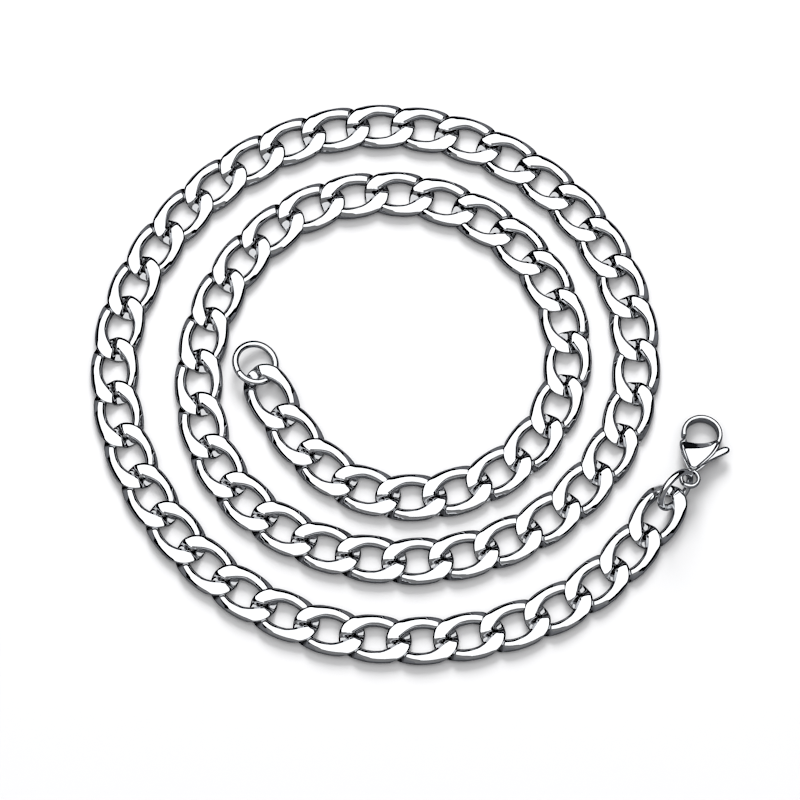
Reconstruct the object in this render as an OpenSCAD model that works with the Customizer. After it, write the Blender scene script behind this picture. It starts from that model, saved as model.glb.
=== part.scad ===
// Curb chain necklace in polished steel, unclasped and lying flat in a loose spiral.
// Millimetres, +Z up, the table is z = 0 and the origin is under the middle of the part.
// Every link is one bent and twisted wire, pressed and ground flat on both faces.
// A link's own frame has its length along Y, its width along X and z = 0 half way up.

/* [Chain] */
// Distance from one link to the next, measured along the chain
link_pitch = 6.7; // [6.3:0.1:7.1]
// Width of the chain across its links
link_w = 7; // [6.6:0.1:7.6]
// Diameter of the wire that a link is bent from
wire_d = 1.75; // [1.6:0.05:1.85]
// Thickness of the chain between its two ground faces
chain_t = 1.4; // [1.3:0.05:1.5]
// Play between the ends of two neighbouring links
link_play = 0.2; // [0.15:0.05:0.4]
// Height that a strand's wire is pressed to where it crosses its neighbour
strand_h = 0.9; // [0.8:0.05:1]
// Open height between two strands where they cross
cross_gap = 0.4; // [0.35:0.05:0.5]
// Slope of the first link, whose free end lies over the clasp's jump ring
first_tilt = 2.5; // [2:0.25:3]
// Slope of the last link, whose free end lies over the end ring
last_tilt = 4; // [3.5:0.25:4.5]
// Slope of the last link across the chain, up to the side that the end ring goes under
last_roll = 3.2; // [2.8:0.2:3.6]

/* [Jump rings] */
// Outside diameter of the two jump rings
ring_od = 7; // [6.9:0.05:7.2]
// Wire of the two jump rings
ring_wire = 1; // [0.8:0.05:1]
// Lean of the clasp's jump ring, which stands on its edge
stand_lean = 18.7; // [17:0.5:20]
// Slope of the end ring, which lies half on the last link
end_ring_tilt = 15.9; // [15:0.3:17]

/* [Clasp] */
// Length of the clasp over its eye and its hook
clasp_l = 12; // [11.5:0.25:13]
// Outside diameter of the clasp's hook
hook_od = 6; // [5.6:0.1:6.4]
// Width of the hook's wall in the plane of the clasp
hook_wall = 0.7; // [0.6:0.05:0.9]
// Thickness of the hook
hook_t = 1.6; // [1.4:0.1:1.8]
// Thickness of the clasp over its two cheeks
cheek_t = 2.2; // [2:0.1:2.4]
// Outside diameter of the clasp's eye
eye_od = 3.1; // [2.9:0.05:3.3]
// Hole in the clasp's eye
eye_hole = 1.9; // [1.8:0.05:2]
// Thickness of the clasp's eye
eye_t = 0.9; // [0.7:0.05:1]
// Width of the clasp's neck, above the eye
neck_w = 1.3; // [1.1:0.1:1.5]
// Slot between the cheeks, which the lever swings in
slot_t = 1; // [0.9:0.05:1.1]
// Clearance of the lever to each cheek
lever_play = 0.08; // [0.05:0.01:0.12]
// Width of the lever's arms
lever_w = 0.9; // [0.8:0.05:1]
// Turn of the lever from shut to open
lever_swing = 28; // [20:1:30]
// Diameter of the rivet that the lever turns on
rivet_d = 0.8; // [0.6:0.05:0.9]
// Running clearance round the rivet, on the radius
rivet_play = 0.05; // [0.03:0.01:0.08]

/* [Hidden] */
steel = [0.80, 0.81, 0.83];
dark_steel = [0.62, 0.63, 0.66];

// Control points of the chain's route, from the clasp's end inwards: a smooth
// curve runs close by them and stops beside the second and the last but one.
ROUTE = [[46, 2], [38, -19], [23, -33.5], [0.5, -38], [-21.5, -32.5], [-38, -15.5],
         [-44.5, 7.5], [-34, 30], [-13, 44.5], [13, 42.5], [32.5, 24.5], [37, -1.5],
         [20.5, -22.5], [-5.5, -27], [-28, -14.5], [-31.5, 9], [-20, 29], [0.5, 34.5],
         [19.5, 25], [27.5, 5.5], [16.5, -13.5], [-6, -17.5], [-20, -1.5], [-27, 24]];
// Shift that brings the origin under the middle of the necklace
ORIGIN = [1, 3.3];
route_steps = 12;

// One point of the cubic B-spline over four control points
function bend(a, b, c, d, u) = (pow(1 - u, 3) * a + (3 * pow(u, 3) - 6 * u * u + 4) * b
    + (-3 * pow(u, 3) + 3 * u * u + 3 * u + 1) * c + pow(u, 3) * d) / 6;
spans = len(ROUTE) - 3;
track = [for (i = [0 : spans - 1]) for (j = [0 : route_steps - (i < spans - 1 ? 1 : 0)])
    bend(ROUTE[i], ROUTE[i + 1], ROUTE[i + 2], ROUTE[i + 3], j / route_steps) - ORIGIN];
// Length of the route up to each point of the track
reach = [for (i = 0, s = 0; i < len(track);
    s = s + (i < len(track) - 1 ? norm(track[i + 1] - track[i]) : 0), i = i + 1) s];
route_l = reach[len(reach) - 1];
track_x = [for (i = [0 : len(track) - 1]) [reach[i], track[i][0]]];
track_y = [for (i = [0 : len(track) - 1]) [reach[i], track[i][1]]];
function route_at(s) = [lookup(s, track_x), lookup(s, track_y)];
function heading_at(s) = let (d = route_at(min(s + 1, route_l)) - route_at(max(s - 1, 0)))
    atan2(d[1], d[0]);

// The links share the route evenly, and the first half of them is the outer turn
n_links = round(route_l / link_pitch) + 1;
spacing = route_l / (n_links - 1);
n_outer = round(n_links / 2);

// Centreline of a link: an oval whose ends sit side by side with their neighbours
link_l = spacing + 2 * wire_d + link_play;
oval_a = (link_l - wire_d) / 2;
oval_b = (link_w - wire_d) / 2;
half_t = chain_t / 2;
// Highest and lowest that the middle of a strand goes, at the crossings
lift = (cross_gap + strand_h) / 2;
// Share of the twist that is held back along the middle of a strand, and how
// level it stays over the crossings
twist_lag = 0.7;
twist_lag_2 = 0.3;
twist_flat = 4;
rad = 180 / PI;
function twist_angle(t) = t - rad * (twist_lag / 2 * sin(2 * t) + twist_lag_2 / 4 * sin(4 * t));
function twist(t) = let (s = sin(2 * twist_angle(t)))
    s * sqrt((1 + twist_flat) / (1 + twist_flat * s * s));
// Half the height of the wire, less at the crossings and no more than ground at the ends
function wire_rv(t) = let (free = wire_d / 2 + (half_t - wire_d / 2) * pow(sin(t), 4))
    free + (strand_h / 2 - free) * abs(twist(t));

// Six corners round the wire: the two ground faces and the two side walls
link_sides = 16;
wire_sides = 6;
corner_share = 0.94;
function half_width(z, zc, rv) = wire_d / 2 * sqrt(max(0, 1 - pow((z - zc) / rv, 2)));
function wire_corners(t) = let (
        zc = lift * twist(t),
        rv = wire_rv(t),
        top = min(half_t, zc + corner_share * rv),
        low = max(-half_t, zc - corner_share * rv),
        mid = (top + low) / 2,
        wt = half_width(top, zc, rv),
        wl = half_width(low, zc, rv),
        wm = half_width(mid, zc, rv))
    [[wm, mid], [wt, top], [-wt, top], [-wm, mid], [-wl, low], [wl, low]];
function link_ring(t) = let (
        n = [oval_a * cos(t), oval_b * sin(t)] / norm([oval_a * cos(t), oval_b * sin(t)]))
    [for (c = wire_corners(t)) [oval_b * cos(t) + c[0] * n[0], oval_a * sin(t) + c[0] * n[1], c[1]]];
link_shape = [for (i = [0 : link_sides - 1]) each link_ring(360 * i / link_sides)];

// A link slopes along and across the chain, is let down until it touches the
// table, and is turned and carried to its place on the route
function sloped(p, tilt, roll) = let (
        y = p[1] * cos(tilt) - p[2] * sin(tilt),
        z = p[1] * sin(tilt) + p[2] * cos(tilt))
    [p[0] * cos(roll) - z * sin(roll), y, p[0] * sin(roll) + z * cos(roll)];
function placed(p, turn, at, drop) = [at[0] + p[0] * cos(turn) - p[1] * sin(turn),
    at[1] + p[0] * sin(turn) + p[1] * cos(turn), p[2] - drop];
function link_points(i) = let (
        tilt = i == 0 ? -first_tilt : i == n_links - 1 ? last_tilt : 0,
        roll = i == n_links - 1 ? last_roll : 0,
        raw = [for (p = link_shape) sloped(p, tilt, roll)],
        low = min([for (p = raw) p[2]]))
    [for (p = raw) placed(p, heading_at(i * spacing) - 90, route_at(i * spacing), low)];

// Two triangles for each patch of a link's surface
link_corners = link_sides * wire_sides;
function corner_id(k, i, j) = k * link_corners + (i % link_sides) * wire_sides + j % wire_sides;
function link_faces(k) = [for (i = [0 : link_sides - 1]) for (j = [0 : wire_sides - 1])
    each [[corner_id(k, i, j), corner_id(k, i, j + 1), corner_id(k, i + 1, j)],
          [corner_id(k, i, j + 1), corner_id(k, i + 1, j + 1), corner_id(k, i + 1, j)]]];

// A run of links as one body of loose, interlocked rings
module links(first, last) {
    polyhedron(points = [for (i = [first : last]) each link_points(i)],
        faces = [for (k = [0 : last - first]) each link_faces(k)]);
}

module chain_outer() {
    color(steel) links(0, n_outer - 1);
}

module chain_inner() {
    color(steel) links(n_outer, n_links - 1);
}

// A place beside the route's end: ahead of a link's centre and to its right,
// looking out of the chain along out_dir
function beside(at, out_dir, ahead, right) = [
    at[0] + ahead * cos(out_dir) + right * sin(out_dir),
    at[1] + ahead * sin(out_dir) - right * cos(out_dir)];
ring_r = (ring_od - ring_wire) / 2;
first_out = heading_at(0) + 180;
last_out = heading_at(route_l);

// The clasp's jump ring stands on its edge round the first link's end wire. It is
// turned from the chain's line by stand_yaw, and its middle is stand_in inside the
// wire's centreline and stand_side to the right of the link's.
stand_yaw = 10;
stand_in = 0.3;
stand_side = 0.25;
stand_turn = first_out - stand_yaw;
stand_at = beside(route_at(0), first_out, oval_a - stand_in, stand_side);
stand_z = ring_r * cos(stand_lean) + ring_wire / 2;

// The end ring lies over the low strand of the last link and under the high one. Its
// inner side is end_play past the end wire, and its middle end_side to the right.
end_yaw = 75;
end_play = 0.26;
end_side = 0.28;
end_turn = last_out + end_yaw;
end_at = beside(route_at(route_l), last_out,
    oval_a - (wire_d + ring_wire) / 2 - end_play + ring_r, end_side);
end_z = ring_r * sin(end_ring_tilt) + ring_wire / 2;

module jump_ring() {
    rotate_extrude($fn = 72) translate([ring_r, 0]) circle(d = ring_wire, $fn = 24);
}

module clasp_ring() {
    color(steel) translate([stand_at[0], stand_at[1], stand_z])
        rotate([90 - stand_lean, 0, stand_turn]) jump_ring();
}

module end_ring() {
    color(steel) translate([end_at[0], end_at[1], end_z])
        rotate([0, -end_ring_tilt, end_turn]) jump_ring();
}

// The clasp in its own frame: its eye round the origin, its hook along +Y and
// its lever's thumb tab towards +X. The eye hangs on the standing ring, at
// eye_angle below the ring's middle, and the hook's far edge is on the table. The
// clasp swings out of the chain's line by clasp_yaw.
eye_angle = 15;
clasp_yaw = 72;
clasp_turn = first_out - clasp_yaw;
eye_at = [stand_at[0] + ring_r * (cos(eye_angle) * cos(stand_turn)
        + sin(eye_angle) * sin(stand_lean) * sin(stand_turn)),
    stand_at[1] + ring_r * (cos(eye_angle) * sin(stand_turn)
        - sin(eye_angle) * sin(stand_lean) * cos(stand_turn)),
    stand_z - ring_r * sin(eye_angle) * cos(stand_lean)];
clasp_reach = clasp_l - eye_od / 2;
clasp_pitch = asin((eye_at[2] - hook_t / 2) / clasp_reach);
module as_worn() {
    translate(eye_at) rotate([0, 0, clasp_turn]) rotate([-clasp_pitch, 0, 0]) children();
}

// The neck reaches neck_sink into the eye, and the rivet is rivet_up above it. The
// gate's end lies gate_in inside the hook's width and gate_drop below its middle,
// and the thumb tab's end tab_out outside and tab_drop below.
neck_sink = 0.3;
rivet_up = 1.75;
hub_wall = 0.35;
slot_play = 0.12;
gate_in = 0.6;
gate_drop = 1.6;
tab_out = 0.9;
tab_drop = 1.7;
hook_y = clasp_reach - hook_od / 2;
neck_y = eye_od / 2 - neck_sink;
flank = asin((hook_od - neck_w) / 2 / (hook_y - neck_y));
pivot = [0, neck_y + rivet_up];
hub_r = rivet_d / 2 + hub_wall;
gate_tip = [-hook_od / 2 + gate_in, hook_y - gate_drop];
tab_tip = [hook_od / 2 + tab_out, hook_y - tab_drop];
gate_dir = atan2(gate_tip[1] - pivot[1], gate_tip[0] - pivot[0]);
tab_dir = atan2(tab_tip[1] - pivot[1], tab_tip[0] - pivot[0]);
// Round notch that frees the gate's end, a little below the end itself
notch_r = 1.15;
notch_drop = 0.5;

// Outline of the closed clasp: a round hook that narrows to the neck
module drop_shape() {
    translate([0, hook_y]) circle(d = hook_od, $fn = 96);
    translate([0, neck_y]) circle(d = neck_w, $fn = 48);
    polygon([[hook_od / 2 * cos(flank), hook_y - hook_od / 2 * sin(flank)],
        [-hook_od / 2 * cos(flank), hook_y - hook_od / 2 * sin(flank)],
        [-neck_w / 2 * cos(flank), neck_y - neck_w / 2 * sin(flank)],
        [neck_w / 2 * cos(flank), neck_y - neck_w / 2 * sin(flank)]]);
}

// Mouth of the hook, above the sloping upper edge of the cheeks, which reach
// cheek_rise past it at the hook's flanks
mouth_slope = 20;
mouth_drop = 1.3;
cheek_rise = 0.5;
module above_mouth_line(rise) {
    translate([0, hook_y - mouth_drop]) rotate(mouth_slope)
        translate([-hook_od, rise]) square([2 * hook_od, hook_od]);
}
module mouth() {
    intersection() {
        translate([0, hook_y]) circle(r = hook_od / 2 - hook_wall, $fn = 96);
        above_mouth_line(0);
    }
}

// Way of one arm of the lever, from shut to open, with play on both sides
module arm_way(dir, reach) {
    half = lever_w / 2 + slot_play;
    translate(pivot) polygon([
        [-half * sin(dir), half * cos(dir)],
        [reach * cos(dir) - half * sin(dir), reach * sin(dir) + half * cos(dir)],
        [reach * cos(dir - lever_swing / 2), reach * sin(dir - lever_swing / 2)],
        [reach * cos(dir - lever_swing) + half * sin(dir - lever_swing),
            reach * sin(dir - lever_swing) - half * cos(dir - lever_swing)],
        [half * sin(dir - lever_swing), -half * cos(dir - lever_swing)]]);
}

module clasp_body() {
    color(steel) as_worn() {
        difference() {
            union() {
                // Hook
                linear_extrude(hook_t, center = true) intersection() {
                    drop_shape();
                    translate([0, hook_y]) circle(d = hook_od, $fn = 96);
                }
                // Cheeks
                linear_extrude(cheek_t, center = true) difference() {
                    drop_shape();
                    above_mouth_line(cheek_rise);
                }
                // Eye
                cylinder(d = eye_od, h = eye_t, center = true, $fn = 64);
            }
            linear_extrude(2 * cheek_t, center = true) mouth();
            // Notch that the gate closes
            translate([gate_tip[0], gate_tip[1] - notch_drop]) cylinder(r = notch_r,
                h = 2 * cheek_t, center = true, $fn = 48);
            // Slot for the lever
            linear_extrude(slot_t, center = true) {
                translate(pivot) circle(r = hub_r + slot_play, $fn = 48);
                arm_way(gate_dir, norm(gate_tip - pivot) + lever_w / 2 + 2 * slot_play);
                arm_way(tab_dir, norm(tab_tip - pivot) + lever_w);
            }
            // Hole in the eye
            cylinder(d = eye_hole, h = 2 * cheek_t, center = true, $fn = 48);
            // Blind hole for the rivet, open underneath
            translate([pivot[0], pivot[1], -cheek_t]) cylinder(d = rivet_d,
                h = cheek_t + rivet_top, $fn = 32);
        }
    }
}
// Height of the rivet's hidden end above the middle of the clasp
rivet_top = (slot_t / 2 + cheek_t / 2) / 2;

module arm(tip) {
    reach = norm(tip - pivot);
    turn = atan2(tip[1] - pivot[1], tip[0] - pivot[0]);
    translate(pivot) rotate(turn) translate([0, -lever_w / 2]) square([reach, lever_w]);
    translate(tip) circle(d = lever_w, $fn = 32);
}

module clasp_lever() {
    color(dark_steel) as_worn() difference() {
        linear_extrude(slot_t - 2 * lever_play, center = true) {
            translate(pivot) circle(r = hub_r, $fn = 48);
            arm(gate_tip);
            arm(tab_tip);
        }
        translate([pivot[0], pivot[1], -slot_t]) cylinder(r = rivet_d / 2 + rivet_play,
            h = 2 * slot_t, $fn = 32);
    }
}

module clasp_rivet() {
    color(dark_steel) as_worn() translate([pivot[0], pivot[1], -cheek_t / 2])
        cylinder(d = rivet_d, h = cheek_t / 2 + rivet_top, $fn = 32);
}

chain_outer();
chain_inner();
clasp_ring();
end_ring();
clasp_body();
clasp_lever();
clasp_rivet();
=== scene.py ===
# %% [markdown]
# # A curb chain necklace in polished steel
# The necklace lies unclasped on a white table, in a loose spiral of 71 links.
# A machine bends each link from round wire, twists it a quarter turn, presses the
# chain flat and grinds both faces, so every link has two bright mirror facets and
# round, dark walls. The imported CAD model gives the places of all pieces, and this
# script builds the surfaces that the eye sees around it.

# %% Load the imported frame
import bpy
import numpy as np
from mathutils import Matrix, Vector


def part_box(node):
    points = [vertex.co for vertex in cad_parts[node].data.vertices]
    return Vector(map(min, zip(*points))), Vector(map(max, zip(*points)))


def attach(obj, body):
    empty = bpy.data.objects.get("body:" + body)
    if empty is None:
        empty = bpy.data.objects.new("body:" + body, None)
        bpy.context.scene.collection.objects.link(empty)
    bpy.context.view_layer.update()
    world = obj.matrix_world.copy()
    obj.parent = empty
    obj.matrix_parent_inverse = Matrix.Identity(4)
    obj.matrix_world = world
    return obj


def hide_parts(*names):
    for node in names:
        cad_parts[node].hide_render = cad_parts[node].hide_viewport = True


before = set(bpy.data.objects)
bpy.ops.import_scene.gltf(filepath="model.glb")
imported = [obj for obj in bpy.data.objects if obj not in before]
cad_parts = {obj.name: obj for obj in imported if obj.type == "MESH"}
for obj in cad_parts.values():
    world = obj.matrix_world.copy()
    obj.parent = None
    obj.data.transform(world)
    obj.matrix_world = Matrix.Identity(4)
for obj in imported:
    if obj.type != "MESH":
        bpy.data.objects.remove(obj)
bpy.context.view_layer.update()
MM = 0.001
print("nodes", sorted(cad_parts))

# %% [markdown]
# ## The camera
# The photograph was taken from about half a metre with a long lens, looking down at
# 71 degrees. Those two numbers came from the spiral itself: links of one size look
# shorter where the chain runs away from the camera than where it runs across, and
# a little smaller at the far side than at the near one.

# %% Camera
VIEW_ELEVATION = np.radians(71.3)
VIEW_DISTANCE = 488.1 * MM
LOOK_AT = np.array([-1.17, -3.3, 0]) * MM
LENS = 150.8
SENSOR = 36

camera_data = bpy.data.cameras.new("camera")
camera_data.lens = LENS
camera_data.sensor_width = SENSOR
camera_data.clip_start, camera_data.clip_end = 0.01, 50
camera = bpy.data.objects.new("camera", camera_data)
bpy.context.scene.collection.objects.link(camera)
camera.location = LOOK_AT + VIEW_DISTANCE * np.array(
    [0, -np.cos(VIEW_ELEVATION), np.sin(VIEW_ELEVATION)])
camera.rotation_euler = (np.pi / 2 - VIEW_ELEVATION, 0, 0)
bpy.context.scene.camera = camera
print("camera at mm", np.round(np.array(camera.location) / MM, 1))

# %% [markdown]
# ## Surfaces as grids
# Wire, rings and plates are all tubes: a closed outline carried along a way. So one
# helper turns an array of outlines into a closed shell. It numbers the corners of
# every patch with whole arrays, because a loop over 200,000 corners would be slow.

# %% Shells
def tube_faces(stations, corners, closed):
    """Four-sided patches of a tube: station i and the next, corner j and the next,
    both counted round. An open tube leaves out the patches from its end to its start."""
    i, j = np.meshgrid(np.arange(stations if closed else stations - 1), np.arange(corners),
                       indexing="ij")
    i2, j2 = (i + 1) % stations, (j + 1) % corners
    quads = np.stack([i * corners + j, i * corners + j2, i2 * corners + j2, i2 * corners + j], -1)
    return quads.reshape(-1, 4)


def shell(points, capped=False):
    """A closed tube from an array (station, corner, xyz): its points and its faces. A
    capped tube ends in a flat face at each end, any other runs round into itself. Its
    signed volume, the sum of a . (b x c) / 6 over its triangles, is positive when the
    faces look outwards, and the faces are turned over when it isn't."""
    stations, corners = points.shape[:2]
    faces = [tube_faces(stations, corners, closed=not capped)]
    if capped:
        rows = np.arange(stations * corners).reshape(stations, corners)
        faces += [rows[:1, ::-1], rows[-1:]]
    points = points.reshape(-1, 3)
    volume = sum(np.einsum("ij,ij->", points[block[:, 0]], np.cross(
        points[block[:, k]], points[block[:, k + 1]])) / 6
        for block in faces for k in range(1, block.shape[1] - 1))
    return points, [block[:, ::-1] if volume < 0 else block for block in faces]


def join_shells(shells):
    """Several shells as one set of points and faces."""
    starts = np.cumsum([0] + [len(points) for points, _ in shells])
    return np.concatenate([points for points, _ in shells]), [
        block + start for (_, faces), start in zip(shells, starts) for block in faces]


# %% [markdown]
# ## From shells to pieces
# A piece of the necklace is one mesh object. It rides on a body of the imported frame, so
# that it moves with it, and stands for the CAD node that it is built around, which it
# hides. One helper does both in the same way each time, and prints how far the piece's
# box is from the node's.

# %% Make a piece
def make_piece(name, points, faces, body, node):
    """One mesh object from an array of points in metres and a list of face arrays."""
    mesh = bpy.data.meshes.new(name)
    mesh.from_pydata(points, [], [f for block in faces for f in block.tolist()])
    mesh.polygons.foreach_set("use_smooth", np.ones(len(mesh.polygons), bool))
    mesh.update()
    piece = bpy.data.objects.new(name, mesh)
    bpy.context.scene.collection.objects.link(piece)
    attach(piece, body)
    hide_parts(node)
    low, high = (np.array(corner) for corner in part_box(node))
    triangles = sum(len(block) * (block.shape[1] - 2) for block in faces)
    print(name, "has", triangles, "triangles and differs from", node, "by mm",
          np.round((points.min(0) - low) / MM, 2), np.round((points.max(0) - high) / MM, 2))
    return piece


# %% [markdown]
# ## The chain's route
# The chain lies on one smooth curve. Its control points are the ones in the CAD
# source, and a cubic B-spline rounds them off. The links share the curve's length
# evenly, as they do on the real chain, where each pulls on the next.

# %% Route of the chain
# Control points in mm, from the clasp's end inwards, and the place that becomes the origin
ROUTE = np.array([
    [46, 2], [38, -19], [23, -33.5], [0.5, -38], [-21.5, -32.5], [-38, -15.5],
    [-44.5, 7.5], [-34, 30], [-13, 44.5], [13, 42.5], [32.5, 24.5], [37, -1.5],
    [20.5, -22.5], [-5.5, -27], [-28, -14.5], [-31.5, 9], [-20, 29], [0.5, 34.5],
    [19.5, 25], [27.5, 5.5], [16.5, -13.5], [-6, -17.5], [-20, -1.5], [-27, 24]])
ORIGIN = np.array([1, 3.3])
ROUTE_STEPS = 12
LINK_PITCH = 6.7


def b_spline(points, steps):
    """Uniform cubic B-spline: each span blends four control points with the weights
    (1-u)^3, 3u^3-6u^2+4, -3u^3+3u^2+3u+1 and u^3, all over 6."""
    u = np.arange(steps) / steps
    weights = np.stack([(1 - u) ** 3, 3 * u ** 3 - 6 * u ** 2 + 4,
                        -3 * u ** 3 + 3 * u ** 2 + 3 * u + 1, u ** 3]) / 6
    spans = np.stack([points[k:len(points) - 3 + k] for k in range(4)])
    curve = np.einsum("ku,ksd->sud", weights, spans).reshape(-1, points.shape[1])
    return np.vstack([curve, (points[-3] + 4 * points[-2] + points[-1]) / 6])


track = b_spline(ROUTE, ROUTE_STEPS) - ORIGIN
reach = np.concatenate([[0], np.cumsum(np.linalg.norm(np.diff(track, axis=0), axis=1))])
N_LINKS = round(reach[-1] / LINK_PITCH) + 1
N_OUTER = (N_LINKS + 1) // 2
SPACING = reach[-1] / (N_LINKS - 1)


def route_at(s):
    """The point of the route at distance s from its start, in mm."""
    return np.stack([np.interp(s, reach, track[:, 0]), np.interp(s, reach, track[:, 1])], -1)


def heading_at(s):
    """The route's direction at s, as an angle, from the points 1 mm before and after."""
    ahead = route_at(np.minimum(s + 1, reach[-1])) - route_at(np.maximum(s - 1, 0))
    return np.arctan2(ahead[..., 1], ahead[..., 0])


print("route", round(reach[-1], 2), "mm,", N_LINKS, "links every", round(SPACING, 3), "mm")

# %% [markdown]
# ## The shape of one link
# Seen from above, a link's wire runs round an oval. Twisting the link lifts each
# long side at one end and lowers it at the other, which lets neighbours hook through
# and still lie flat. Pressing squeezes the wire where two sides cross, and grinding
# takes off whatever stands above the chain's two faces. So the link is one function
# of two numbers: t, the place round the oval, and the place round the wire's
# section. What the eye knows a curb link by is the outline of its facets: narrow
# along the middle of a side, pressed wide where the side rides over its neighbour,
# and closed by a round tip. That outline is no simple curve, so it is a short table
# of places read off a real link, rounded by a moving average.

# %% Sizes of a link
WIRE = 1.75
LINK_W = 7.0
LINK_PLAY = 0.2
LINK_L = SPACING + 2 * WIRE + LINK_PLAY
OVAL_A, OVAL_B = (LINK_L - WIRE) / 2, (LINK_W - WIRE) / 2
# Along one side, from the end where it is low to the end where it is high: degrees
# round the oval, height of the top, the facet's outer and inner edges, and how far
# the wire reaches outwards and inwards. All but the degrees are mm. Both faces of the
# chain are ground 0.7 mm from its middle, and no top stands higher
SIDE = np.array([
    [-85, 0.06, -0.06, 0.12, 0.88, 0.88], [-80, -0.03, -0.05, 0.12, 0.90, 0.85],
    [-72, -0.08, -0.01, 0.10, 0.94, 0.81], [-66, -0.10, 0.05, 0.07, 0.97, 0.80],
    [-56, -0.10, 0.14, 0.02, 1.03, 0.78], [-44, -0.10, 0.18, 0.00, 1.05, 0.78],
    [-40, 0.08, 0.18, 0.00, 1.05, 0.78], [-36.5, 0.40, 0.19, 0.00, 1.05, 0.78],
    [-33, 0.63, 0.22, 0.00, 1.04, 0.78], [-30, 0.70, 0.24, 0.01, 1.02, 0.78],
    [-18, 0.70, 0.30, 0.12, 0.95, 0.80], [0, 0.70, 0.29, 0.34, 0.875, 0.84],
    [15, 0.70, 0.26, 0.46, 0.92, 0.90], [30, 0.70, 0.25, 0.66, 1.02, 1.08],
    [45, 0.70, 0.27, 0.82, 1.05, 1.17], [56, 0.70, 0.28, 0.84, 1.03, 1.19],
    [66, 0.70, 0.26, 0.76, 0.98, 1.14], [73, 0.70, 0.18, 0.62, 0.93, 1.06],
    [80, 0.70, 0.07, 0.45, 0.91, 0.98], [85, 0.60, 0.00, 0.29, 0.90, 0.94],
    [90, 0.32, -0.03, 0.18, 0.89, 0.90]])
HEIGHT, EDGE_OUT, EDGE_IN, REACH_OUT, REACH_IN = range(5)

# The table is read every half degree, and a bell-shaped average six degrees wide rounds it
fine = np.arange(-90, 90, 0.5)
bell = np.hanning(13)[1:-1]
side_curves = []
for values in SIDE.T[1:]:
    straight = np.interp(fine, SIDE[:, 0], values, period=180)
    thrice = np.convolve(np.tile(straight, 3), bell / bell.sum(), "same")
    side_curves.append(thrice[len(fine):2 * len(fine)])


def side_value(column, a):
    """A column of the table, rounded, at angle a in radians. It repeats every half
    turn, because a link's two sides are alike."""
    return np.interp(np.degrees(a), fine, side_curves[column], period=180)


print("widest facet", round(max(side_curves[EDGE_OUT] + side_curves[EDGE_IN]), 2), "mm")

# %% [markdown]
# ## The wire's section
# Cut across, the wire has a flat facet at the top and at the bottom and a round wall on
# each side. A quarter of it is worked out at a time: the facet's edge, some rows down
# the wall, and the wall's widest place. The inner edge of the wide part isn't sharp.
# Tumbling in the polishing barrel leaves a narrow sloping strip there, which shows as a
# second, thinner reflection, so two of the wall's rows move on to it.

# %% Section of the wire
# Rows of the wall, as shares of the way from the facet's edge down to the widest place
WALL_ROWS = (0.07, 0.3, 0.55, 0.8)
# Least wall outside a facet's edge, and how far inside it the facet's own row lies
LEAST_WALL, ROUNDING = 0.09, 0.03
# The strip starts beside the facet's edge and a step below it, and slopes down
STRIP_GAP, STRIP_STEP, STRIP_SLOPE = 0.02, 0.045, np.tan(np.radians(25))
# Its width inside the link, what it leaves of the wall there and outside, and its drop
STRIP_WIDTH, STRIP_REST_IN, STRIP_REST_OUT, STRIP_DROP = 0.24, 0.03, 0.12, 0.03
# Degrees over which it comes and goes along a side
STRIP_COMES, STRIP_GOES = (2, 14), (60, 76)


def smooth_step(x, low, high):
    """0 below low, 1 above high, and an even S-curve between. The limits are degrees."""
    x = np.clip((x - np.radians(low)) / np.radians(high - low), 0, 1)
    return x * x * (3 - 2 * x)


def quarter(a, face, inner):
    """One quarter of the section, from near the facet's middle to the wire's widest
    height: rows of (distance from the centreline, height). The lower face is the
    upper one turned over, so face is 1 or -1 and its curves are read at face * a.
    The wall is an ellipse x = r cos(p), z = m + v sin(p) that leaves the facet's
    edge. The strip lies inside the high half and outside the low one, as the twist
    turns the wire."""
    along = face * a
    top = side_value(HEIGHT, along)
    middle = (top - side_value(HEIGHT, -along)) / 2
    radius = side_value(REACH_IN if inner else REACH_OUT, a)
    edge = np.minimum(side_value(EDGE_IN if inner else EDGE_OUT, along), radius - LEAST_WALL)
    start = np.arccos(edge / radius)
    rise = (top - middle) / np.sin(start)
    arc = [(radius * np.cos(start * (1 - k)), middle + rise * np.sin(start * (1 - k)))
           for k in WALL_ROWS]
    reach_up = along if inner else -along
    strip = smooth_step(reach_up, *STRIP_COMES) * (1 - smooth_step(reach_up, *STRIP_GOES))
    begin = edge + STRIP_GAP
    end = (np.minimum(radius - STRIP_REST_IN, begin + STRIP_WIDTH) if inner
           else radius - STRIP_REST_OUT)
    on_strip = [(begin, top - STRIP_STEP), (end, top - STRIP_STEP - STRIP_SLOPE * (end - begin))]
    moved = [tuple(p + (q - p) * strip for p, q in zip(*pair)) for pair in zip(arc, on_strip)]
    low = np.minimum(moved[1][1], arc[2][1]) - STRIP_DROP
    tail = [(arc[2][0] + (end - arc[2][0]) * strip, arc[2][1] + (low - arc[2][1]) * strip), arc[3]]
    return [(edge - ROUNDING, top), (edge, top)] + moved + tail, (radius, face * middle)


def link_section(t):
    """The closed outline of the wire at each t: outer half from top to bottom, inner
    half back up. Returns arrays (place, corner) of the distance and the height."""
    a = (t + np.pi / 2) % np.pi - np.pi / 2
    halves = []
    for inner in (0, 1):
        above, widest = quarter(a, 1, inner)
        below, _ = quarter(a, -1, inner)
        halves.append(above + [widest] + [(x, -z) for x, z in below[::-1]])
    loop = halves[0] + [(-x, z) for x, z in halves[1][::-1]]
    return np.stack([x for x, z in loop], -1), np.stack([z for x, z in loop], -1)


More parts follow.
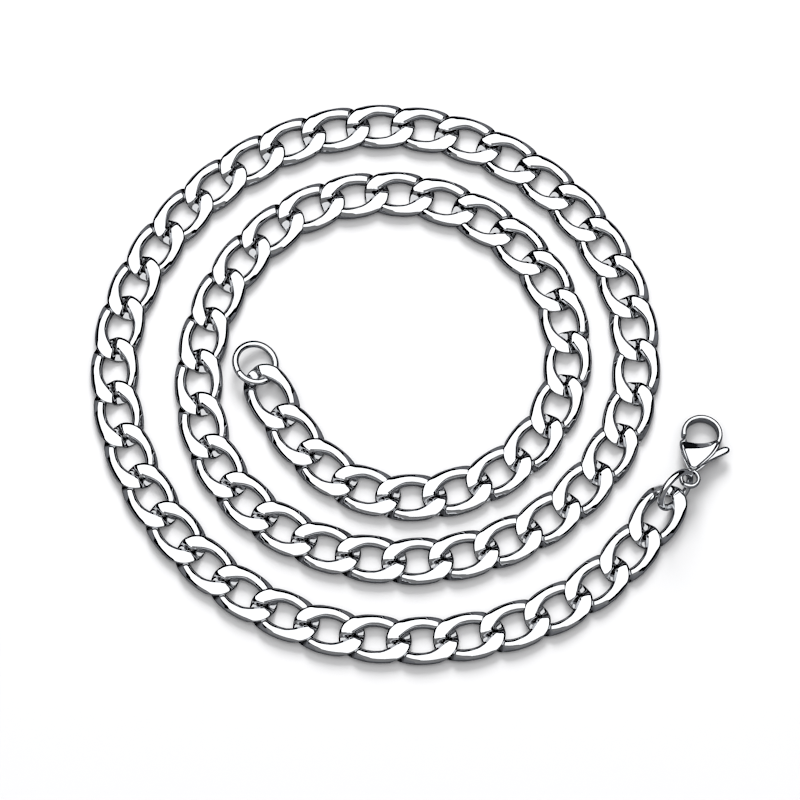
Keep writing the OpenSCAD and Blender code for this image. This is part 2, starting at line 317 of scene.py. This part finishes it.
# %% Surface of a link
def link_surface(stations):
    """The link round its own middle, in mm: each section stands across the oval,
    along the oval's outward normal."""
    t = 2 * np.pi * np.arange(stations) / stations
    off, z = link_section(t)
    normal = np.stack([OVAL_A * np.cos(t), OVAL_B * np.sin(t)], -1)
    normal /= np.linalg.norm(normal, axis=-1, keepdims=True)
    middle = np.stack([OVAL_B * np.cos(t), OVAL_A * np.sin(t)], -1)
    flat = middle[:, None] + off[..., None] * normal[:, None]
    return np.concatenate([flat, z[..., None]], -1)


LINK_STATIONS = 100
link_shape = link_surface(LINK_STATIONS)
print("one link", link_shape.shape, "size mm",
      np.round(np.ptp(link_shape.reshape(-1, 3), axis=0), 2))

# %% [markdown]
# ## The chain
# All links are the same, so the chain is that one surface, carried to 71 places at
# once. Only the two end links slope, because the jump rings lift them. Each is let
# down until it touches the table. The chain is two pieces, like the CAD nodes that
# they stand for.

# %% Build the chain
FIRST_TILT, LAST_TILT, LAST_ROLL = np.radians([2.5, 4, 3.2])


def sloped(points, tilt, roll):
    """Turn about the link's width by tilt, then about its length by roll."""
    x, y, z = np.moveaxis(points, -1, 0)
    y, z = y * np.cos(tilt) - z * np.sin(tilt), y * np.sin(tilt) + z * np.cos(tilt)
    return np.stack([x * np.cos(roll) - z * np.sin(roll), y,
                     x * np.sin(roll) + z * np.cos(roll)], -1)


def chain_points(first, last):
    """Links first to last in their places on the route, in metres."""
    i = np.arange(first, last + 1)
    links = np.repeat(link_shape[None], len(i), 0)
    if first == 0:
        links[0] = sloped(link_shape, -FIRST_TILT, 0)
    if last == N_LINKS - 1:
        links[-1] = sloped(link_shape, LAST_TILT, LAST_ROLL)
    links[..., 2] -= links[..., 2].min(axis=(1, 2), keepdims=True)
    turn = (heading_at(i * SPACING) - np.pi / 2)[:, None, None]
    at = route_at(i * SPACING)[:, None, None]
    x, y, z = np.moveaxis(links, -1, 0)
    return MM * np.stack([at[..., 0] + x * np.cos(turn) - y * np.sin(turn),
                          at[..., 1] + x * np.sin(turn) + y * np.cos(turn), z], -1)


def make_chain(name, node, first, last):
    """A run of links as one piece of loose, interlocked tubes."""
    points, faces = join_shells([shell(link) for link in chain_points(first, last)])
    return make_piece(name, points, faces, "necklace", node)


outer_links = make_chain("outer_links", "chain_outer", 0, N_OUTER - 1)
inner_links = make_chain("inner_links", "chain_inner", N_OUTER, N_LINKS - 1)

# %% [markdown]
# ## The two jump rings
# A jump ring is a coil of round wire cut into single turns, opened with pliers,
# threaded and closed again, so on the real one a hairline shows where the ends meet.
# The end ring lies half on the last link. The other one stands on its edge between
# the first link and the clasp, because its two neighbours hold it from both sides.

# %% Placing helpers
def rounded(turns, power):
    """A closed outline between an ellipse and a rectangle, of half width and half
    height 1: x = |cos|^power and z = |sin|^power with the signs of cos and sin."""
    a = 2 * np.pi * np.arange(turns) / turns
    c, s = np.cos(a), np.sin(a)
    return np.stack([np.sign(c) * np.abs(c) ** power, np.sign(s) * np.abs(s) ** power], -1)


def placed(points, tip, lean, turn, at):
    """Points turned about X by tip, about Y by lean and about Z by turn, all in
    radians, carried to `at` in mm, and given in metres."""
    x, y, z = np.moveaxis(points, -1, 0)
    y, z = y * np.cos(tip) - z * np.sin(tip), y * np.sin(tip) + z * np.cos(tip)
    x, z = x * np.cos(lean) + z * np.sin(lean), z * np.cos(lean) - x * np.sin(lean)
    x, y = x * np.cos(turn) - y * np.sin(turn), x * np.sin(turn) + y * np.cos(turn)
    return MM * (np.stack([x, y, z], -1) + at)


def beside(at, out, ahead, right):
    """A place ahead of a link's centre and to its right, looking out along `out`."""
    return np.array([at[0] + ahead * np.cos(out) + right * np.sin(out),
                     at[1] + ahead * np.sin(out) - right * np.cos(out)])


def arc_tube(radius, middle_y, low, high, stations, outline, end_round):
    """An outline swept round (0, middle_y) in the XY plane, between two angles in
    radians. Its ends are rounded off over end_round mm: at the share u of that length
    the outline shrinks to sqrt(1 - u^2) of itself."""
    u = np.array([0.97, 0.85, 0.55])
    ends = (1 - u) * end_round / radius
    inset = end_round / radius
    angle = np.concatenate([low + ends, np.linspace(low + inset, high - inset, stations),
                            high - ends[::-1]])
    shrink = np.sqrt(1 - np.concatenate([u, np.zeros(stations), u[::-1]]) ** 2)[:, None]
    away = radius + outline[:, 0] * shrink
    return np.stack([away * np.cos(angle)[:, None], middle_y + away * np.sin(angle)[:, None],
                     outline[:, 1] * shrink], -1)


def full_ring(radius, stations, outline):
    """An outline swept all the way round the origin in the XY plane."""
    angle = 2 * np.pi * np.arange(stations)[:, None] / stations
    away = radius + outline[:, 0]
    return np.stack([away * np.cos(angle), away * np.sin(angle),
                     np.tile(outline[:, 1], (stations, 1))], -1)


# %% Build the jump rings
RING_R, RING_WIRE = 3.0, 1.0
RING_CUT, RING_END_ROUND = 0.02, 0.04
STAND_YAW, STAND_LEAN, END_YAW, END_TILT = np.radians([10, 18.7, 75, 15.9])
STAND_CUT_AT, END_CUT_AT = np.radians([200, 20])
# The standing ring's middle lies STAND_IN inside the first link's end wire. The lying
# ring's wire has END_PLAY of room to the last link's end wire. Each lies a little to
# the right of its link's middle line, looking outwards
STAND_IN, STAND_SIDE = 0.3, 0.25
END_PLAY, END_SIDE = 0.26, 0.28
first_out = heading_at(0.0) + np.pi
last_out = heading_at(reach[-1])
stand_at = np.append(beside(route_at(0.0), first_out, OVAL_A - STAND_IN, STAND_SIDE),
                     RING_R * np.cos(STAND_LEAN) + RING_WIRE / 2)
end_at = np.append(beside(route_at(reach[-1]), last_out,
                          OVAL_A - (WIRE + RING_WIRE) / 2 - END_PLAY + RING_R, END_SIDE),
                   RING_R * np.sin(END_TILT) + RING_WIRE / 2)


def jump_ring(cut_at):
    """One turn of round wire, cut at an angle, with slightly rounded ends."""
    half_cut = RING_CUT / 2 / RING_R
    return arc_tube(RING_R, 0, cut_at + half_cut, cut_at + 2 * np.pi - half_cut, stations=110,
                    outline=RING_WIRE / 2 * rounded(20, power=1), end_round=RING_END_ROUND)


rings = {}
for name, node, cut_at, pose in (
        ("standing_ring", "clasp_ring", STAND_CUT_AT,
         (np.pi / 2 - STAND_LEAN, 0, first_out - STAND_YAW, stand_at)),
        ("lying_ring", "end_ring", END_CUT_AT, (0, -END_TILT, last_out + END_YAW, end_at))):
    points, faces = shell(placed(jump_ring(cut_at), *pose), capped=True)
    rings[name] = make_piece(name, points, faces, "necklace", node)

# %% [markdown]
# ## The clasp's body
# A lobster clasp is cast in one piece by the lost-wax way: a ring eye, a short neck,
# two cheeks with a slot between them, and a round hook. Casting and tumbling leave no
# sharp edge. The cheeks are widest where the hook begins, carry a low rim outside a
# raised face, and fall away in a long slope to the hook's mouth. That slope turns
# from the softbox, so it is the black band across the clasp in the photograph.
# Each cheek is one surface between two outlines, the foot on the slot and the brow
# round the face, so both were drawn point by point with the same number of points.

# %% Outlines of the clasp, in mm from the middle of its eye, the hook along +Y
EYE_R, EYE_HALF_W, EYE_HALF_H = 1.25, 0.3, 0.45
HOOK_Y, HOOK_R, HOOK_HALF_W, HOOK_HALF_H = 7.45, 2.62, 0.38, 0.8
HOOK_FROM, HOOK_TO = np.radians([-34, 207])
CHEEK_FOOT = np.array([
    [0, 1.28], [0.4, 1.38], [0.64, 1.62], [0.95, 2.07], [1.58, 2.96], [2.05, 3.7],
    [2.4, 4.4], [2.66, 5.1], [2.84, 5.8], [2.93, 6.5], [2.86, 7.1], [2.5, 7.22],
    [2.05, 6.82], [1.6, 6.46], [0.95, 6.05], [0.2, 5.75], [-0.53, 5.57], [-1.2, 5.48],
    [-1.85, 5.42], [-2.35, 5.36], [-2.56, 5.05], [-2.4, 4.55], [-2.12, 3.9],
    [-1.75, 3.22], [-1.28, 2.6], [-0.9, 2.1], [-0.6, 1.68], [-0.38, 1.4]])
CHEEK_BROW = np.array([
    [0, 1.5], [0.3, 1.55], [0.5, 1.75], [0.72, 2.14], [1.1, 2.76], [1.5, 3.45],
    [1.85, 4.12], [2.12, 4.8], [2.32, 5.5], [2.42, 6.05], [2.45, 6.38], [2.36, 6.4],
    [2.05, 6.0], [1.65, 5.58], [0.95, 5.06], [0.2, 4.72], [-0.4, 4.5], [-0.95, 4.31],
    [-1.4, 4.17], [-1.7, 4.08], [-1.8, 3.93], [-1.68, 3.68], [-1.48, 3.35],
    [-1.22, 2.95], [-0.95, 2.5], [-0.68, 2.08], [-0.46, 1.75], [-0.28, 1.55]])
# How much of each point belongs to the long slope to the mouth
MOUTH_SIDE = np.array([0] * 10 + [0.5] + [1] * 8 + [0.6, 0.2] + [0] * 7)
CHEEK_MIDDLE = np.array([0.1, 3.4])
SLOT_HALF, CHEEK_TOP = 0.5, 1.05
CHEEK_STEPS = 3


def closed_curve(points, steps):
    """The B-spline of b_spline(), run round a closed row of control points."""
    return b_spline(np.vstack([points[-1:], points, points[:2]]), steps)[:-1]


def cheek(side):
    """A cheek from the slot outwards, as rows of one outline: share of the way from
    foot to brow, share of the way on to the middle, and height at the rim and at the
    mouth. The rim is a rounded edge, a level strip and a step. Side is 1 or -1."""
    rows = np.array([
        [0, 0.7, SLOT_HALF, SLOT_HALF], [0, 0.04, SLOT_HALF, SLOT_HALF],
        [0, 0, 0.53, 0.52], [0.05, 0, 0.63, 0.55], [0.16, 0, 0.71, 0.61],
        [0.32, 0, 0.745, 0.69], [0.7, 0, 0.765, 0.88], [0.8, 0, 0.80, 0.93],
        [0.93, 0, 0.97, 1.0], [1, 0, 1.02, 1.03], [1, 0.1, 1.035, 1.04],
        [1, 0.5, CHEEK_TOP, CHEEK_TOP]])
    foot, brow = closed_curve(CHEEK_FOOT, CHEEK_STEPS), closed_curve(CHEEK_BROW, CHEEK_STEPS)
    mouth = closed_curve(MOUTH_SIDE[:, None], CHEEK_STEPS)[:, 0]
    to_brow, inwards, rim_z, mouth_z = rows.T[:, :, None]
    flat = foot + (brow - foot) * to_brow[..., None]
    flat = flat + (CHEEK_MIDDLE - flat) * inwards[..., None]
    height = rim_z + (mouth_z - rim_z) * mouth
    return np.concatenate([flat, side * height[..., None]], -1)


# %% Build the clasp's body
CLASP_L = 12.0
CLASP_YAW, EYE_ANGLE = np.radians([72, 15])
# Places along the neck, with its half width and half height there, in mm
NECK = np.array([[1.1, 0.42, 0.44], [1.3, 0.5, 0.6], [1.5, 0.5, 0.8], [1.75, 0.46, 1.0],
                 [2.05, 0.34, 1.03]])
stand_turn = first_out - STAND_YAW
eye_at = stand_at + RING_R * np.array([
    np.cos(EYE_ANGLE) * np.cos(stand_turn)
    + np.sin(EYE_ANGLE) * np.sin(STAND_LEAN) * np.sin(stand_turn),
    np.cos(EYE_ANGLE) * np.sin(stand_turn)
    - np.sin(EYE_ANGLE) * np.sin(STAND_LEAN) * np.cos(stand_turn),
    -np.sin(EYE_ANGLE) * np.cos(STAND_LEAN)])
clasp_reach = CLASP_L - EYE_R - EYE_HALF_W
clasp_pitch = np.arcsin((eye_at[2] - HOOK_HALF_H) / clasp_reach)


def as_worn(points):
    """From the clasp's own frame to its place on the standing ring, in metres."""
    return placed(points, -clasp_pitch, 0, first_out - CLASP_YAW, eye_at)


eye = full_ring(EYE_R, stations=48, outline=rounded(20, power=0.9) * [EYE_HALF_W, EYE_HALF_H])
hook = arc_tube(HOOK_R, HOOK_Y, HOOK_FROM, HOOK_TO, stations=84,
                outline=rounded(28, power=0.68) * [HOOK_HALF_W, HOOK_HALF_H], end_round=0.3)
neck_outline = rounded(24, power=0.7)
neck = np.stack([neck_outline[None, :, 0] * NECK[:, 1:2],
                 np.repeat(NECK[:, :1], len(neck_outline), 1),
                 neck_outline[None, :, 1] * NECK[:, 2:3]], -1)
points, faces = join_shells([shell(as_worn(eye)), shell(as_worn(hook), capped=True),
                             shell(as_worn(neck), capped=True)]
                            + [shell(as_worn(cheek(side)), capped=True) for side in (1, -1)])
clasp_case = make_piece("clasp_case", points, faces, "necklace", "clasp_body")

# %% [markdown]
# ## The clasp's lever
# The lever is stamped from plate and rounded in the tumbler. It turns on a rivet
# between the cheeks. Its gate arm fills the gap below the hook's tip, with an end
# that follows a circle round the rivet, so that it can swing into the mouth. Its
# other arm ends in the paddle for the thumb. It is one closed tube round the rivet's
# hole, which works because every part of its outline can be seen from the rivet.

# %% Build the lever
PIVOT = np.array([0, 3.0])
LEVER_HALF_H, HOLE_R = 0.42, 0.45
LEVER_OUTLINE = np.array([
    [0.5, 2.35], [0.85, 2.6], [1.65, 3.05], [2.58, 3.95], [3.56, 4.9], [4.25, 5.55],
    [4.52, 5.95], [4.45, 6.4], [4.0, 6.62], [3.45, 6.45], [2.85, 5.9], [2.1, 5.1],
    [1.2, 4.2], [0.5, 3.78], [0, 3.75], [-0.35, 3.9], [-0.9, 4.5], [-1.45, 5.2],
    [-1.8, 5.75], [-2.03, 6.1], [-2.2, 6.14], [-2.42, 5.96], [-2.68, 5.7],
    [-2.84, 5.42], [-2.7, 4.85], [-2.3, 4.0], [-1.75, 3.25], [-1.2, 2.75], [-0.7, 2.38],
    [0, 2.22]])
LEVER_STEPS = 4
# The rounded edge: distances inwards from the outline, and how far each lies below the flat
LEVER_EDGE = [(0.4, 0), (0.3, 0.02), (0.16, 0.1), (0.05, 0.22), (0, 0.36)]
# The broken edge of the hole, across and down, and the flat left beside it
HOLE_BREAK, HOLE_DROP, HUB_FLAT = 0.04, 0.02, 0.1


def lever_shape():
    """Rows round the outline, each from the hole's edge out to the lever's edge, over
    it and back: pairs of the distance inwards from the edge and the height. Round the
    hub the rounding is narrower, by the share `room`, so that it stays off the hole."""
    edge = closed_curve(LEVER_OUTLINE, LEVER_STEPS)
    along = np.roll(edge, -1, 0) - np.roll(edge, 1, 0)
    inwards = np.stack([-along[:, 1], along[:, 0]], -1)
    inwards /= np.linalg.norm(inwards, axis=1, keepdims=True)
    spoke = edge - PIVOT
    away = np.linalg.norm(spoke, axis=1, keepdims=True)
    spoke /= away
    h = LEVER_HALF_H
    room = np.minimum(1, (away - HOLE_R - HUB_FLAT) / LEVER_EDGE[0][0])
    loop = [(PIVOT + HOLE_R * spoke, h - HOLE_DROP), (PIVOT + (HOLE_R + HOLE_BREAK) * spoke, h)]
    loop += [(edge + inwards * inset * room, h - drop) for inset, drop in LEVER_EDGE]
    loop += [(flat, -z) for flat, z in loop[::-1]]
    return np.stack([np.column_stack([flat, np.full(len(flat), z)]) for flat, z in loop], 1)


points, faces = shell(as_worn(lever_shape()))
clasp_gate = make_piece("clasp_gate", points, faces, "lever", "clasp_lever")

# %% [markdown]
# ## Colour and node helpers
# Colours are written as the sRGB hex values that a colour picker shows, and Blender
# works with linear light, so one function converts them. A second one clears a node
# tree, and a third adds a node, sets its values and links its inputs.

# %% Colour and node helpers
def linear(hex_colour):
    """sRGB hex to linear RGBA: below 0.04045 divide by 12.92, else ((c+0.055)/1.055)^2.4."""
    c = np.array([int(hex_colour[k:k + 2], 16) for k in (1, 3, 5)]) / 255
    c = np.where(c <= 0.04045, c / 12.92, ((c + 0.055) / 1.055) ** 2.4)
    return (*c.tolist(), 1.0)


def cleared_tree(owner):
    """The node tree of a material, a world or a scene, without its default nodes."""
    owner.use_nodes = True
    owner.node_tree.nodes.clear()
    return owner.node_tree


def add_node(tree, kind, inputs=None, **settings):
    """A node of the given kind: settings are its properties, and inputs its sockets,
    each either a value or another node's output to link from."""
    node = tree.nodes.new(kind)
    for name, value in settings.items():
        setattr(node, name, value)
    for socket, value in (inputs or {}).items():
        if isinstance(value, bpy.types.NodeSocket):
            tree.links.new(value, node.inputs[socket])
        else:
            node.inputs[socket].default_value = value
    return node

# %% [markdown]
# ## Polished stainless steel
# The links are grade 316L stainless wire, ground and then tumbled with steel shot
# until they are nearly a mirror. What the eye gets is the room: a white softbox in
# the facets, and the dark studio in the walls. A mirror that perfect looks drawn,
# so the finish has the faults that the real one has: a faint haze that comes and
# goes over about a millimetre, and a very shallow waviness left by the wheel. Half
# way down a link, where two strands cross and the walls lie, the steel's colour is
# mixed towards a grey: that is painted shade, for the dark that falls in those crevices.

# %% Steel materials
# Painted shade: a grey mixed into the links' steel round one height, full within the half width of
# it and gone at the fade, both in mm
PAINTED_SHADE_GREY = "#A3A4A6"
PAINTED_SHADE_HALF_WIDTH, PAINTED_SHADE_FADE = 0.15, 0.5
HAZE_DETAIL, HAZE_GRAIN = 3.0, 0.55
HAZE_LOW, HAZE_HIGH = 0.35, 0.65


def polished_steel(name, tints, roughness, haze_mm, wave_mm, depth_mm, painted_shade_mm=None):
    """Steel between two tints and two roughnesses, mixed by a noise of haze_mm, with
    a waviness wave_mm long and depth_mm deep. It gives the eye a cool, crisp mirror.
    The last argument is the height in mm of a painted shade, a grey mixed into the tint
    that darkens walls and crossings there and fades out over the shade's fade width."""
    material = bpy.data.materials.new(name)
    tree = cleared_tree(material)
    place = add_node(tree, "ShaderNodeTexCoord").outputs["Object"]
    haze = add_node(tree, "ShaderNodeTexNoise", {
        "Vector": place, "Scale": 1 / (haze_mm * MM), "Detail": HAZE_DETAIL,
        "Roughness": HAZE_GRAIN})
    tint = add_node(tree, "ShaderNodeMix", {
        0: haze.outputs[0], 6: linear(tints[0]), 7: linear(tints[1])}, data_type="RGBA")
    # Painted shade: round the given height the steel's tint is mixed towards a grey, so walls and
    # crossings look darker
    if painted_shade_mm:
        height = add_node(tree, "ShaderNodeSeparateXYZ", {"Vector": place}).outputs["Z"]
        off = add_node(tree, "ShaderNodeMath", {0: height, 1: painted_shade_mm * MM},
                       operation="SUBTRACT")
        away = add_node(tree, "ShaderNodeMath", {0: off.outputs[0]}, operation="ABSOLUTE")
        unshaded = add_node(tree, "ShaderNodeMapRange", {
            "Value": away.outputs[0], "From Min": PAINTED_SHADE_HALF_WIDTH * MM,
            "From Max": PAINTED_SHADE_FADE * MM})
        tint = add_node(tree, "ShaderNodeMix", {
            0: unshaded.outputs[0], 6: linear(PAINTED_SHADE_GREY), 7: tint.outputs[2]}, data_type="RGBA")
    rough = add_node(tree, "ShaderNodeMapRange", {
        "Value": haze.outputs[0], "From Min": HAZE_LOW, "From Max": HAZE_HIGH,
        "To Min": roughness[0], "To Max": roughness[1]})
    wave = add_node(tree, "ShaderNodeTexNoise", {
        "Vector": place, "Scale": 1 / (wave_mm * MM), "Detail": 1.0})
    bump = add_node(tree, "ShaderNodeBump", {
        "Height": wave.outputs[0], "Strength": 1.0, "Distance": depth_mm * MM})
    surface = add_node(tree, "ShaderNodeBsdfPrincipled", {
        "Base Color": tint.outputs[2], "Metallic": 1.0, "Roughness": rough.outputs[0],
        "Normal": bump.outputs[0]})
    add_node(tree, "ShaderNodeOutputMaterial", {"Surface": surface.outputs[0]})
    return material


# The links' ground faces are the sharpest mirror of all. Round 0.65 mm up, where their walls and
# crossings lie, a painted shade greys them
link_steel = polished_steel("ground_polished_stainless_steel", ("#CBCCCE", "#BFC1C4"),
                            roughness=(0.04, 0.10), haze_mm=0.9, wave_mm=0.7, depth_mm=0.002,
                            painted_shade_mm=0.65)
# Drawn wire is bright, with a finer haze from the drawing die
wire_steel = polished_steel("drawn_polished_stainless_wire", ("#CCCDCF", "#C1C3C6"),
                            roughness=(0.05, 0.12), haze_mm=0.5, wave_mm=0.6, depth_mm=0.002)
# Cast and tumbled steel keeps a wavier skin, so its reflections wander
cast_steel = polished_steel("cast_tumbled_stainless_steel", ("#C9CACC", "#BCBEC1"),
                            roughness=(0.07, 0.14), haze_mm=0.7, wave_mm=0.9, depth_mm=0.004)
# The stamped lever and its rivet are polished less, and look softer and a little darker
lever_steel = polished_steel("stamped_polished_stainless_steel", ("#C5C6C9", "#B9BBBE"),
                             roughness=(0.08, 0.15), haze_mm=0.5, wave_mm=0.8, depth_mm=0.003)
print("steels", [steel.name for steel in (link_steel, wire_steel, cast_steel, lever_steel)])

# %% Dress the pieces
def dress(piece, material):
    """The one material that a piece wears."""
    piece.data.materials.clear()
    piece.data.materials.append(material)


for piece, material in ((outer_links, link_steel), (inner_links, link_steel),
                        (rings["standing_ring"], wire_steel), (rings["lying_ring"], wire_steel),
                        (clasp_case, cast_steel), (clasp_gate, lever_steel),
                        (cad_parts["clasp_rivet"], lever_steel)):
    dress(piece, material)
    print(piece.name, "is", material.name)

# %% [markdown]
# ## Table and studio light
# Jewellery is lit by one large softbox overhead and dark cloth around it, because a
# mirror shows whatever is near. The softbox makes the facets white, and the dark
# room draws the black lines along the walls. A softbox that wide casts hardly any
# shadow, and the photograph has soft ones below each strand, so a smaller, low light
# on the far side adds them. It isn't seen in the steel, where it would burn a spot.
# A dim grey card stands on the camera's side. It turns the walls that face the camera
# grey, while the rest of the room stays dark and keeps the lines between them black.
# The table shows in the steel as a darker grey than to the eye. That stands in for the
# black cards which a photographer lays close round jewellery to draw its edges.

# %% Table
# Half the table's width, in metres. Matt acrylic gives the eye soft shadows and no shine
TABLE = 2.0
TABLE_TO_EYE, TABLE_TO_STEEL = "#B8B8B9", "#5C5D60"
table_mesh = bpy.data.meshes.new("table")
table_mesh.from_pydata([(-TABLE, -TABLE, 0), (TABLE, -TABLE, 0), (TABLE, TABLE, 0),
                        (-TABLE, TABLE, 0)], [], [(0, 1, 2, 3)])
table = bpy.data.objects.new("table", table_mesh)
bpy.context.scene.collection.objects.link(table)
table_white = bpy.data.materials.new("matt_white_acrylic")
tree = cleared_tree(table_white)
seen_in_steel = add_node(tree, "ShaderNodeLightPath").outputs["Is Glossy Ray"]
table_tint = add_node(tree, "ShaderNodeMix", {
    0: seen_in_steel, 6: linear(TABLE_TO_EYE), 7: linear(TABLE_TO_STEEL)}, data_type="RGBA")
table_surface = add_node(tree, "ShaderNodeBsdfDiffuse", {"Color": table_tint.outputs[2]})
add_node(tree, "ShaderNodeOutputMaterial", {"Surface": table_surface.outputs[0]})
dress(table, table_white)

# %% Lights
SOFTBOX_HEIGHT, SOFTBOX_MIDDLE = 1.5, 0.25
SOFTBOX_SIZE, SOFTBOX_RADIANCE = (3.4, 3.0), 1.9
KEY_ELEVATION, KEY_DISTANCE = np.radians(33), 1.3
KEY_SIZE, KEY_SHARE = (0.6, 0.5), 1.1
CARD_DISTANCE = 1.6
CARD_SIZE, CARD_RADIANCE = (3.6, 1.9), 0.30


def light_panel(name, size, watts, place, tip=0):
    """A rectangle of light, sizes in metres. It shines down, or is turned about X by
    tip radians."""
    data = bpy.data.lights.new(name, "AREA")
    data.shape = "RECTANGLE"
    data.size, data.size_y = size
    data.energy = watts
    panel = bpy.data.objects.new(name, data)
    bpy.context.scene.collection.objects.link(panel)
    panel.location = place
    panel.rotation_euler = (tip, 0, 0)
    print(name, round(watts, 1), "W")
    return panel


def glow(size, radiance):
    """Watts of a panel that looks as bright as radiance: pi times its area times that."""
    return radiance * np.pi * size[0] * size[1]


light_panel("overhead_softbox", SOFTBOX_SIZE, glow(SOFTBOX_SIZE, SOFTBOX_RADIANCE),
            (0, SOFTBOX_MIDDLE, SOFTBOX_HEIGHT))
# KEY_SHARE is how bright the key alone makes a perfectly white table, where 1 is white
key = light_panel("low_key_light", KEY_SIZE,
                  KEY_SHARE * np.pi ** 2 * KEY_DISTANCE ** 2 / np.sin(KEY_ELEVATION),
                  KEY_DISTANCE * np.array([0, np.cos(KEY_ELEVATION), np.sin(KEY_ELEVATION)]),
                  KEY_ELEVATION - np.pi / 2)
key.visible_glossy = False
light_panel("grey_front_card", CARD_SIZE, glow(CARD_SIZE, CARD_RADIANCE),
            (0, -CARD_DISTANCE, CARD_SIZE[1] / 2), np.pi / 2)

# %% [markdown]
# ## The room
# The steel sees a dark room. The camera sees a pale one, because a low view looks past
# the table's edge, and a photographer's white sheet would run up the wall there. The
# Standard view shows colours as they were chosen, without a film curve.

# %% Room
ROOM_TO_STEEL, ROOM_TO_CAMERA = "#16171A", "#F6F6F7"
room = bpy.data.worlds.new("dark_room")
bpy.context.scene.world = room
tree = cleared_tree(room)
seen_directly = add_node(tree, "ShaderNodeLightPath").outputs["Is Camera Ray"]
room_tint = add_node(tree, "ShaderNodeMix", {
    0: seen_directly, 6: linear(ROOM_TO_STEEL), 7: linear(ROOM_TO_CAMERA)}, data_type="RGBA")
room_light = add_node(tree, "ShaderNodeBackground", {"Color": room_tint.outputs[2]})
add_node(tree, "ShaderNodeOutputWorld", {"Surface": room_light.outputs[0]})
bpy.context.scene.view_settings.view_transform = "Standard"
bpy.context.scene.view_settings.look = "None"
print("view", bpy.context.scene.view_settings.view_transform)

# %% [markdown]
# ## Sharpening
# The photograph was sharpened hard for a web shop: thin pale lines run beside its dark
# ones. A light sharpening of the picture gives the same crispness to the walls.

# %% Sharpen the picture
SHARPENING = 0.06
tree = cleared_tree(bpy.context.scene)
picture = add_node(tree, "CompositorNodeRLayers").outputs["Image"]
crisp = add_node(tree, "CompositorNodeFilter", {"Fac": SHARPENING, "Image": picture},
                 filter_type="SHARPEN_DIAMOND")
add_node(tree, "CompositorNodeComposite", {"Image": crisp.outputs[0]})
